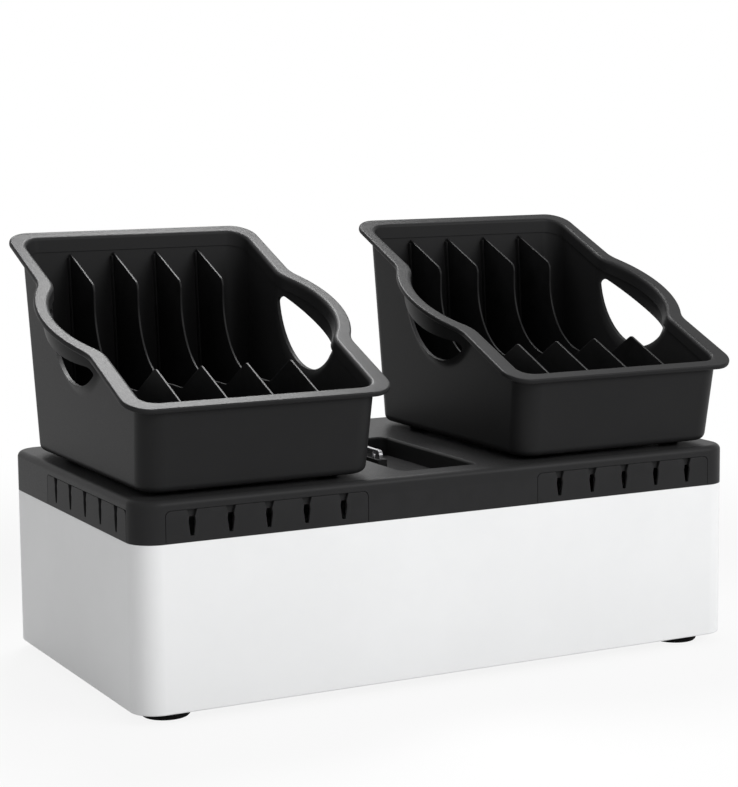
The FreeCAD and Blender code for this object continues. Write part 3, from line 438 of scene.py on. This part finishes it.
@dataclass(frozen=True)
class Finish:
    """A moulded, rubber or metal surface and how it catches light.

    Attributes:
        name: The material's name.
        colour: The main colour.
        shade: The colour in its faint darker clouds.
        worn_and_highlight: The colour of lighter edges, rubbed wear together with a painted highlight.
        roughness: Least and most roughness over the grain.
        grain: Grains per metre.
        depth: Depth of the grain or the brushed lines, in millimetres.
        edge: Share of the lighter edge colour, wear and painted highlight, on edges.
        dust: Share of dust on faces that look upward.
        specular: Strength of the plain reflection.
        metallic: 1 for bare metal.
        coat: Weight of a glossy coat.
        coat_roughness: Roughness of that coat.
        bump: Strength of the grain's relief.
        brush: The way that brushed lines run, or None for moulded grain.
        made: The materials built so far, by name.
    """

    name: str
    colour: Colour
    shade: Colour
    worn_and_highlight: Colour
    roughness: tuple[float, float]
    grain: float = 1200.0
    depth: float = 0.02
    edge: float = 0.4
    dust: float = 0.1
    specular: float = 0.4
    metallic: float = 0.0
    coat: float = 0.0
    coat_roughness: float = 0.25
    bump: float = 0.5
    brush: Direction | None = None

    made: ClassVar[dict[str, bpy.types.Material]] = {}

    def material(self, effects: Effects) -> bpy.types.Material:
        """Give the finish's material, built on first use.

        Args:
            effects: The shared effect groups.

        Returns:
            The material.
        """
        if self.name not in Finish.made:
            Finish.made[self.name] = self.build(effects)
        return Finish.made[self.name]

    def build(self, effects: Effects) -> bpy.types.Material:
        """Wire the shared effects into a shader.

        Args:
            effects: The shared effect groups.

        Returns:
            A new material.
        """
        material = bpy.data.materials.new(self.name)
        material.use_nodes = True
        wiring = Wiring(material.node_tree)
        shader = wiring.tree.nodes["Principled BSDF"]
        shader.inputs["Specular IOR Level"].default_value = self.specular
        shader.inputs["Metallic"].default_value = self.metallic
        shader.inputs["Coat Weight"].default_value = self.coat
        shader.inputs["Coat Roughness"].default_value = self.coat_roughness

        tones = {"Colour": (*self.colour, OPAQUE), "Shade": (*self.shade, OPAQUE)}
        cloud = wiring.shared(effects.groups[Effect.CLOUD], tones)
        # Lighter edges: rubbed wear together with a painted highlight.
        lighter_edge_values = {"Worn and Highlight": (*self.worn_and_highlight, OPAQUE), "Amount": self.edge}
        edge = wiring.shared(effects.groups[Effect.EDGE], lighter_edge_values)
        dust = wiring.shared(effects.groups[Effect.DUST], {"Amount": self.dust})
        wiring.link(cloud.outputs["Colour"], edge.inputs["Colour"])
        wiring.link(edge.outputs["Colour"], dust.inputs["Colour"])
        wiring.link(dust.outputs["Colour"], shader.inputs["Base Color"])

        texture = self.texture(wiring, effects)
        wiring.link(wiring.between(texture.outputs["Mask"], *self.roughness), shader.inputs["Roughness"])
        bump = wiring.node("Bump")
        bump.inputs["Strength"].default_value = self.bump
        bump.inputs["Distance"].default_value = self.depth * MM
        wiring.link(texture.outputs["Height"], bump.inputs["Height"])
        wiring.link(bump.outputs["Normal"], shader.inputs["Normal"])
        return material

    def texture(self, wiring: Wiring, effects: Effects) -> bpy.types.Node:
        """Place the moulded grain or the brushed lines.

        Args:
            wiring: The material's nodes.
            effects: The shared effect groups.

        Returns:
            A node with outputs Height and Mask.
        """
        if self.brush is None:
            return wiring.shared(effects.groups[Effect.GRAIN], {"Scale": self.grain})
        stretches = {"Stretch " + axis: value for axis, value in zip("XYZ", self.brush.value)}
        return wiring.shared(effects.groups[Effect.BRUSH], stretches)


# The worn colours, far lighter than the black finishes, are rubbed wear together with a painted highlight on
# the edges.
WHITE_SHELL = Finish(
    "white_shell_finish", colour=(0.82, 0.825, 0.83), shade=(0.80, 0.805, 0.81), worn_and_highlight=(0.86, 0.86, 0.86),
    roughness=(0.42, 0.5), grain=1500.0, depth=0.012, edge=0.2, dust=0.0, specular=0.15)
LID_GRAIN = Finish(
    "lid_grain_finish", colour=(0.021, 0.021, 0.0215), shade=(0.0198, 0.0198, 0.0203),
    worn_and_highlight=(0.06, 0.06, 0.062), roughness=(0.36, 0.44), grain=900.0, depth=0.02, edge=0.05,
    dust=0.01, specular=0.06)
TRAY_SATIN = Finish(
    "tray_satin_finish", colour=(0.016, 0.016, 0.0164), shade=(0.0148, 0.0148, 0.0152),
    worn_and_highlight=(0.04, 0.04, 0.042), roughness=(0.40, 0.48), grain=1300.0, depth=0.03, edge=0.1,
    dust=0.01, specular=0.07)
COMB_SATIN = Finish(
    "comb_satin_finish", colour=(0.021, 0.021, 0.0215), shade=(0.0198, 0.0198, 0.0203),
    worn_and_highlight=(0.045, 0.045, 0.047), roughness=(0.42, 0.5), grain=1000.0, depth=0.02, edge=0.1,
    dust=0.01, specular=0.06)
DIVIDER_SHEET = Finish(
    "divider_sheet_finish", colour=(0.005, 0.005, 0.0052), shade=(0.0045, 0.0045, 0.0047),
    worn_and_highlight=(0.05, 0.05, 0.052), roughness=(0.44, 0.54), grain=1500.0, depth=0.02, edge=0.15,
    dust=0.01, specular=0.09)
FOOT_RUBBER = Finish(
    "foot_rubber_finish", colour=(0.006, 0.006, 0.006), shade=(0.005, 0.005, 0.005), worn_and_highlight=(0.02, 0.02, 0.02),
    roughness=(0.7, 0.85), grain=800.0, depth=0.05, edge=0.3, dust=0.02, specular=0.05)
EYE_STEEL = Finish(
    "eye_steel_finish", colour=(0.38, 0.38, 0.39), shade=(0.34, 0.34, 0.35), worn_and_highlight=(0.6, 0.6, 0.61),
    roughness=(0.26, 0.4), depth=0.01, edge=0.4, dust=0.0, metallic=1.0, brush=Direction.ALONG_Y)
SCREW_STEEL = Finish(
    "screw_steel_finish", colour=(0.5, 0.5, 0.5), shade=(0.44, 0.44, 0.44), worn_and_highlight=(0.7, 0.7, 0.7),
    roughness=(0.25, 0.4), depth=0.008, edge=0.5, dust=0.0, metallic=1.0, brush=Direction.ALONG_X)
PIN_BRASS = Finish(
    "pin_brass_finish", colour=(0.72, 0.52, 0.22), shade=(0.62, 0.44, 0.18), worn_and_highlight=(0.85, 0.66, 0.34),
    roughness=(0.22, 0.36), depth=0.006, edge=0.4, dust=0.0, metallic=1.0, brush=Direction.ALONG_Y)
STRIP_PLASTIC = Finish(
    "strip_plastic_finish", colour=(0.05, 0.05, 0.052), shade=(0.042, 0.042, 0.044), worn_and_highlight=(0.1, 0.1, 0.1),
    roughness=(0.45, 0.56), grain=1000.0, depth=0.03, edge=0.3, dust=0.08, specular=0.4)
OUTLET_PLASTIC = Finish(
    "outlet_plastic_finish", colour=(0.03, 0.03, 0.031), shade=(0.025, 0.025, 0.026), worn_and_highlight=(0.08, 0.08, 0.08),
    roughness=(0.3, 0.4), grain=1600.0, depth=0.01, edge=0.3, dust=0.05, specular=0.5)
ROCKER_GLOSS = Finish(
    "rocker_gloss_finish", colour=(0.42, 0.02, 0.015), shade=(0.36, 0.016, 0.012), worn_and_highlight=(0.5, 0.05, 0.04),
    roughness=(0.16, 0.24), grain=1800.0, depth=0.004, edge=0.2, dust=0.04, specular=0.5, coat=0.3)


# Pieces


@dataclass
class Piece:
    """A solid that is shown with its hard moulded edges eased.

    Attributes:
        node: The solid's node.
        finish: What it wears.
        ease: Width of the easing in millimetres; 0 shows the solid itself.
        angle: Degrees from which an edge counts as hard.
        segments: Steps of the rounding.
        WELD: Metres within which points of the solid's mesh are one.
        FLAT_ANGLE: Degrees up to which neighbouring facets are one face.
        ROUND_PROFILE: Profile of the rounding, a circular one.
        MOST_CORNERS: Corners up to which a face is left whole.
        SHARP_ANGLE: Degrees from which an edge is shaded sharp.
        FACE_WEIGHT: How much large faces count in the shading.
    """

    node: str
    finish: Finish
    ease: float = 0.0
    angle: float = 38.0
    segments: int = 2

    WELD: ClassVar[float] = 1e-6
    FLAT_ANGLE: ClassVar[float] = 0.05
    ROUND_PROFILE: ClassVar[float] = 0.5
    MOST_CORNERS: ClassVar[int] = 4
    SHARP_ANGLE: ClassVar[float] = 50.0
    FACE_WEIGHT: ClassVar[int] = 80

    def show(self, effects: Effects) -> bpy.types.Object:
        """Dress the solid, or a copy of it with eased edges.

        Args:
            effects: The shared effect groups.

        Returns:
            The object that is shown.
        """
        solid = frame["nodes"][self.node]
        shown = self.eased(solid) if self.ease else solid
        shown.data.materials.clear()
        shown.data.materials.append(self.finish.material(effects))
        LOG.info("%s wears %s", shown.name, self.finish.name)
        return shown

    def eased(self, solid: bpy.types.Object) -> bpy.types.Object:
        """Copy the solid with its hard edges rounded a little.

        Args:
            solid: The solid's own object, which stays as it is.

        Returns:
            A new object that stands for the solid and moves with its body.
        """
        mesh = bmesh.new()
        mesh.from_mesh(solid.data)
        bmesh.ops.remove_doubles(mesh, verts=mesh.verts, dist=self.WELD)
        bmesh.ops.dissolve_limit(mesh, angle_limit=math.radians(self.FLAT_ANGLE), verts=mesh.verts,
                                 edges=mesh.edges, delimit=set())
        self.trim(mesh)
        limit = math.radians(self.angle)
        hard = [edge for edge in mesh.edges if edge.is_manifold and edge.calc_face_angle(0.0) > limit]
        bmesh.ops.bevel(mesh, geom=hard, offset=self.ease * MM, offset_type="OFFSET", segments=self.segments,
                        profile=self.ROUND_PROFILE, affect="EDGES", clamp_overlap=True)
        wide = [face for face in mesh.faces if len(face.verts) > self.MOST_CORNERS]
        bmesh.ops.triangulate(mesh, faces=wide)
        data = bpy.data.meshes.new(self.node + "_eased")
        mesh.to_mesh(data)
        mesh.free()
        data.shade_smooth()
        data.set_sharp_from_angle(angle=math.radians(self.SHARP_ANGLE))
        shown = bpy.data.objects.new(self.node + "_eased", data)
        bpy.context.scene.collection.objects.link(shown)
        weighted = shown.modifiers.new("even_light", "WEIGHTED_NORMAL")
        weighted.keep_sharp = True
        weighted.weight = self.FACE_WEIGHT
        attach(shown, solid["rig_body"])
        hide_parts(self.node)
        return shown

    def trim(self, mesh: bmesh.types.BMesh) -> None:
        """Leave the copy's form as the solid has it; a piece with a finer form changes it here."""


@dataclass
class TrayShell(Piece):
    """A tray's moulding, with a wider and crisper lip along the front of its mouth.

    Sizes are in millimetres. A reach is measured from the line on which the mouth's front corners turn,
    a depth straight down from the plane of the rim.

    Attributes:
        middle: x of the tray's middle.
        straight: Half the length of the lip between the corners.
        turn: y of the line on which the corners turn.
        rim_point: y and z of a point in the plane of the rim.
        rim_slope: Rise of that plane towards the back.
        slack: Height above that plane within which a point still belongs to the rim.
        flat_reach: Reach beyond which the rim's flat stays as it is.
        wall_reach: Reach beyond which points deeper than wall_depth belong to the outer wall.
        wall_depth: Depth beyond which points farther than wall_reach belong to the outer wall.
        lip_depth: Depth below which the mouth's inner wall stays as it is.
        corner_reach: Reach in the solid's rounding that is drawn to crest_reach.
        crest_reach: Reach of the crisper lip.
        tightness: Share of the solid's rounding that the crisper lip keeps.
        corner_angle: Degrees round a corner over which the change fades out.
    """

    middle: float = 0.0
    straight: float = 93.85
    turn: float = -150.8
    rim_point: tuple[float, float] = (-167.59, 285.85)
    rim_slope: float = 0.40403
    slack: float = 0.05
    flat_reach: float = 22.1
    wall_reach: float = 17.6
    wall_depth: float = 4.4
    lip_depth: float = 5.45
    corner_reach: float = 16.79
    crest_reach: float = 15.1
    tightness: float = 0.22
    corner_angle: float = 80.0

    def trim(self, mesh: bmesh.types.BMesh) -> None:
        """Draw the rounding of the front lip together into a tighter one nearer the mouth.

        Args:
            mesh: The copy of the solid, in metres, whose points are moved.
        """
        for vert in mesh.verts:
            x, y, z = (value / MM for value in vert.co)
            across = max(0.0, abs(x - self.middle) - self.straight)
            ahead = self.turn - y
            reach = math.hypot(across, ahead)
            depth = self.rim_height(y) - z
            in_wall = depth > self.wall_depth and reach > self.wall_reach
            in_lip = reach <= self.flat_reach and -self.slack < depth < self.lip_depth
            if ahead <= 0.0 or in_wall or not in_lip:
                continue
            share = self.share(across, ahead)
            goal = self.crest_reach + (reach - self.corner_reach) * self.tightness
            drawn = 1.0 + (goal / reach - 1.0) * share
            new_y = self.turn - ahead * drawn
            vert.co.x += math.copysign(across * (1.0 - drawn), self.middle - x) * MM
            vert.co.y = new_y * MM
            vert.co.z = (self.rim_height(new_y) - depth * (1.0 - (1.0 - self.tightness) * share)) * MM

    def share(self, across: float, ahead: float) -> float:
        """Give how much of the change a point takes: all on the straight run, less round a corner.

        Args:
            across: Distance past the end of the straight run.
            ahead: Distance in front of the line on which the corners turn.

        Returns:
            A share that falls smoothly from 1 to 0.
        """
        turned = min(1.0, math.degrees(math.atan2(across, ahead)) / self.corner_angle)
        return 1.0 - turned * turned * (3.0 - 2.0 * turned)

    def rim_height(self, y: float) -> float:
        """Give the height of the rim's plane at a y, in millimetres."""
        return self.rim_point[1] + (y - self.rim_point[0]) * self.rim_slope


# Sub-assemblies


@dataclass
class SubAssembly:
    """Pieces that are put together and dressed together; widths of easing are in millimetres."""

    def pieces(self) -> list[Piece]:
        """List the pieces; each sub-assembly gives its own."""
        raise NotImplementedError

    def build(self, effects: Effects) -> None:
        """Show and dress every piece.

        Args:
            effects: The shared effect groups.
        """
        for piece in self.pieces():
            piece.show(effects)


@dataclass
class PowerBase(SubAssembly):
    """White base with its feet, padlock eye and cord combs."""

    shell_ease: float = 0.4
    comb_ease: float = 0.35
    eye_ease: float = 0.5

    def pieces(self) -> list[Piece]:
        """List the base's pieces.

        Returns:
            The shell and what is fixed to it, apart from the power strip.
        """
        combs = ("front_left_comb", "front_right_comb", "left_side_comb", "right_side_comb")
        return [
            Piece("base_shell", WHITE_SHELL, self.shell_ease),
            Piece("rubber_feet", FOOT_RUBBER),
            Piece("lock_eye", EYE_STEEL, self.eye_ease),
            *(Piece(comb, COMB_SATIN, self.comb_ease) for comb in combs),
            *(Piece(screws, SCREW_STEEL) for screws in ("foot_screws", "lock_eye_screws")),
        ]


@dataclass
class Lid(SubAssembly):
    """Black lift-off lid."""

    ease: float = 0.4

    def pieces(self) -> list[Piece]:
        """List the lid alone."""
        return [Piece("lid", LID_GRAIN, self.ease)]


@dataclass
class CarryTray(SubAssembly):
    """Black tray with grips, and its dividers."""

    side: Side
    ease: float = 0.6
    divider_ease: float = 0.5
    dividers: int = 4

    def pieces(self) -> list[Piece]:
        """List the tray's pieces.

        Returns:
            The moulding, its pads and its dividers.
        """
        side = self.side.value
        low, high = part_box(side + "_tray")
        middle = (low[0] + high[0]) / 2 / MM
        numbers = range(1, self.dividers + 1)
        return [
            TrayShell(side + "_tray", TRAY_SATIN, self.ease, middle=middle),
            Piece(side + "_tray_pads", FOOT_RUBBER),
            *(Piece("%s_divider_%d" % (side, n), DIVIDER_SHEET, self.divider_ease) for n in numbers),
        ]


@dataclass
class PowerStrip(SubAssembly):
    """Outlets, switch and mains inlet inside the base."""

    outlets: int = 10
    housing_ease: float = 0.3
    outlet_ease: float = 0.2
    frame_ease: float = 0.2
    rocker_ease: float = 0.5
    inlet_ease: float = 0.3
    pin_ease: float = 0.2

    def pieces(self) -> list[Piece]:
        """List the strip's pieces.

        Returns:
            The housing, the outlets, the switch, the inlet and the screws.
        """
        numbers = range(1, self.outlets + 1)
        screw_sets = ("strip_cover_screws", "strip_foot_screws", "inlet_screws")
        return [
            Piece("strip_housing", STRIP_PLASTIC, self.housing_ease),
            Piece("strip_cover", STRIP_PLASTIC, self.housing_ease),
            *(Piece("outlet_%02d" % n, OUTLET_PLASTIC, self.outlet_ease) for n in numbers),
            Piece("switch_frame", OUTLET_PLASTIC, self.frame_ease),
            Piece("switch_rocker", ROCKER_GLOSS, self.rocker_ease),
            Piece("mains_inlet", OUTLET_PLASTIC, self.inlet_ease),
            Piece("inlet_pins", PIN_BRASS, self.pin_ease),
            *(Piece(screws, SCREW_STEEL) for screws in screw_sets),
        ]


# Studio


@dataclass(frozen=True)
class StudioCamera:
    """Camera at the photograph's place, worked out from its perspective.

    Attributes:
        image: Width and height of the picture, in pixels.
        focal: Focal length, in pixels.
        centre: The lens's centre in the picture, in pixels from its upper left corner.
        yaw: Turn from +Y towards +X, in degrees.
        pitch: Tilt upward, in degrees.
        roll: Turn about the line of sight, in degrees.
        place: Where the camera stands, in metres.
        sensor: Width of the sensor, in millimetres.
    """

    image: tuple[int, int] = (738, 787)
    focal: float = 2163.66
    centre: tuple[float, float] = (427.17, 380.13)
    yaw: float = 28.5275
    pitch: float = -7.4966
    roll: float = -0.332
    place: Point = (-0.96805, -1.90019, 0.54803)
    sensor: float = 36.0

    def build(self) -> None:
        """Make the camera and set it as the scene's."""
        yaw, pitch, roll = (math.radians(angle) for angle in (self.yaw, self.pitch, self.roll))
        ahead = Vector((math.sin(yaw) * math.cos(pitch), math.cos(yaw) * math.cos(pitch), math.sin(pitch)))
        right = Vector((math.cos(yaw), -math.sin(yaw), 0.0))
        up = right.cross(ahead)
        turn = Matrix((right, up, -ahead)).transposed() @ Matrix.Rotation(roll, 3, "Z")
        data = bpy.data.cameras.new("studio_camera")
        longest = max(self.image)
        data.sensor_width = self.sensor
        data.lens = self.focal * data.sensor_width / longest
        data.shift_x = (self.image[0] / 2 - self.centre[0]) / longest
        data.shift_y = (self.centre[1] - self.image[1] / 2) / longest
        camera = bpy.data.objects.new("studio_camera", data)
        camera.matrix_world = Matrix.Translation(self.place) @ turn.to_4x4()
        bpy.context.scene.collection.objects.link(camera)
        bpy.context.scene.camera = camera


@dataclass(frozen=True)
class Lamp:
    """A soft box of light.

    Attributes:
        name: The lamp's name.
        place: Where it hangs, in metres.
        aim: The point that it faces, in metres.
        size: Width and height, in metres.
        power: Power, in watts.
        spread: Angle of its beam, in degrees.
    """

    name: str
    place: Point
    aim: Point
    size: tuple[float, float]
    power: float
    spread: float = 180.0

    def build(self) -> None:
        """Make the lamp and turn it to its aim."""
        data = bpy.data.lights.new(self.name, "AREA")
        data.shape = "RECTANGLE"
        data.size, data.size_y = self.size
        data.energy = self.power
        data.spread = math.radians(self.spread)
        lamp = bpy.data.objects.new(self.name, data)
        lamp.location = self.place
        lamp.rotation_euler = (Vector(self.aim) - Vector(self.place)).to_track_quat("-Z", "Y").to_euler()
        lamp.visible_camera = False
        bpy.context.scene.collection.objects.link(lamp)


@dataclass(frozen=True)
class Studio:
    """Pale floor, white surround and soft lamps.

    Attributes:
        floor_size: Side of the floor, in metres.
        floor_colour: The floor's colour where it takes the shadow.
        floor_roughness: The floor's roughness.
        near: Distance from the middle, in metres, up to which the floor shows the shadow.
        far: Distance from which it is plain white.
        glow: Share of plain white that shows within the near distance.
        ambient: Strength of the surround as a source of light.
        lamps: The soft boxes.
    """

    floor_size: float = 30.0
    floor_colour: Colour = (0.6, 0.6, 0.6)
    floor_roughness: float = 0.9
    near: float = 0.55
    far: float = 1.3
    glow: float = 0.88
    ambient: float = 0.54
    lamps: tuple[Lamp, ...] = (
        Lamp("front_box", (1.6, -3.0, 2.2), (0.0, 0.0, 0.2), (2.4, 1.8), 93.0),
        Lamp("top_box", (0.12, 0.5, 1.25), (-0.14, -0.25, 0.3), (0.5, 0.5), 4.5, 70.0),
    )

    def build(self) -> None:
        """Make the floor, the surround and the lamps."""
        bpy.context.scene.view_settings.view_transform = "Standard"
        self.surround()
        self.floor()
        for lamp in self.lamps:
            lamp.build()

    @staticmethod
    def clear_sight(wiring: Wiring) -> bpy.types.NodeSocket:
        """Tell the camera's sight, reflections and sight through glass from plain light.

        Args:
            wiring: The nodes of the floor's material or of the world.

        Returns:
            A socket that is 1 for what is seen and 0 for what only lights.
        """
        path = wiring.node("LightPath")
        sight = path.outputs["Is Camera Ray"]
        for ray in ("Is Glossy Ray", "Is Transmission Ray"):
            sight = wiring.combine("MAXIMUM", sight, path.outputs[ray])
        return sight

    def surround(self) -> None:
        """White world for the camera and reflections, softer as a source of light."""
        world = bpy.data.worlds.new("studio_surround")
        bpy.context.scene.world = world
        world.use_nodes = True
        wiring = Wiring(world.node_tree)
        background = wiring.tree.nodes["Background"]
        background.inputs["Color"].default_value = WHITE
        strength = wiring.between(self.clear_sight(wiring), self.ambient, WHOLE)
        wiring.link(strength, background.inputs["Strength"])

    def floor(self) -> None:
        """Pale floor that keeps a soft shadow."""
        mesh = bmesh.new()
        bmesh.ops.create_grid(mesh, x_segments=1, y_segments=1, size=self.floor_size / 2)
        data = bpy.data.meshes.new("studio_floor")
        mesh.to_mesh(data)
        mesh.free()
        data.materials.append(self.floor_paper())
        floor = bpy.data.objects.new("studio_floor", data)
        bpy.context.scene.collection.objects.link(floor)

    def floor_paper(self) -> bpy.types.Material:
        """Make the floor's material, which turns to plain white away from the station.

        Returns:
            A new material.
        """
        material = bpy.data.materials.new("studio_floor_paper")
        material.use_nodes = True
        wiring = Wiring(material.node_tree)
        shader = wiring.tree.nodes["Principled BSDF"]
        shader.inputs["Base Color"].default_value = (*self.floor_colour, OPAQUE)
        shader.inputs["Roughness"].default_value = self.floor_roughness
        shader.inputs["Specular IOR Level"].default_value = 0.0
        away = wiring.node("VectorMath", operation="LENGTH")
        wiring.link(wiring.place(), away.inputs[0])
        share = wiring.fade(away.outputs["Value"], self.near, self.far, self.glow)
        mix = wiring.node("MixShader")
        wiring.link(wiring.combine("MULTIPLY", share, self.clear_sight(wiring)), mix.inputs["Fac"])
        wiring.link(shader.outputs[0], mix.inputs[1])
        wiring.link(wiring.node("Emission").outputs[0], mix.inputs[2])
        wiring.link(mix.outputs[0], wiring.tree.nodes["Material Output"].inputs["Surface"])
        return material


def main() -> None:
    """Build the station's looks, the studio and the camera."""
    logging.basicConfig(level=logging.INFO, format="%(name)s: %(message)s")
    effects = Effects()
    trays = [CarryTray(side) for side in Side]
    for assembly in (PowerBase(), Lid(), *trays, PowerStrip()):
        assembly.build(effects)
    Studio().build()
    StudioCamera().build()


if __name__ == "__main__":
    main()
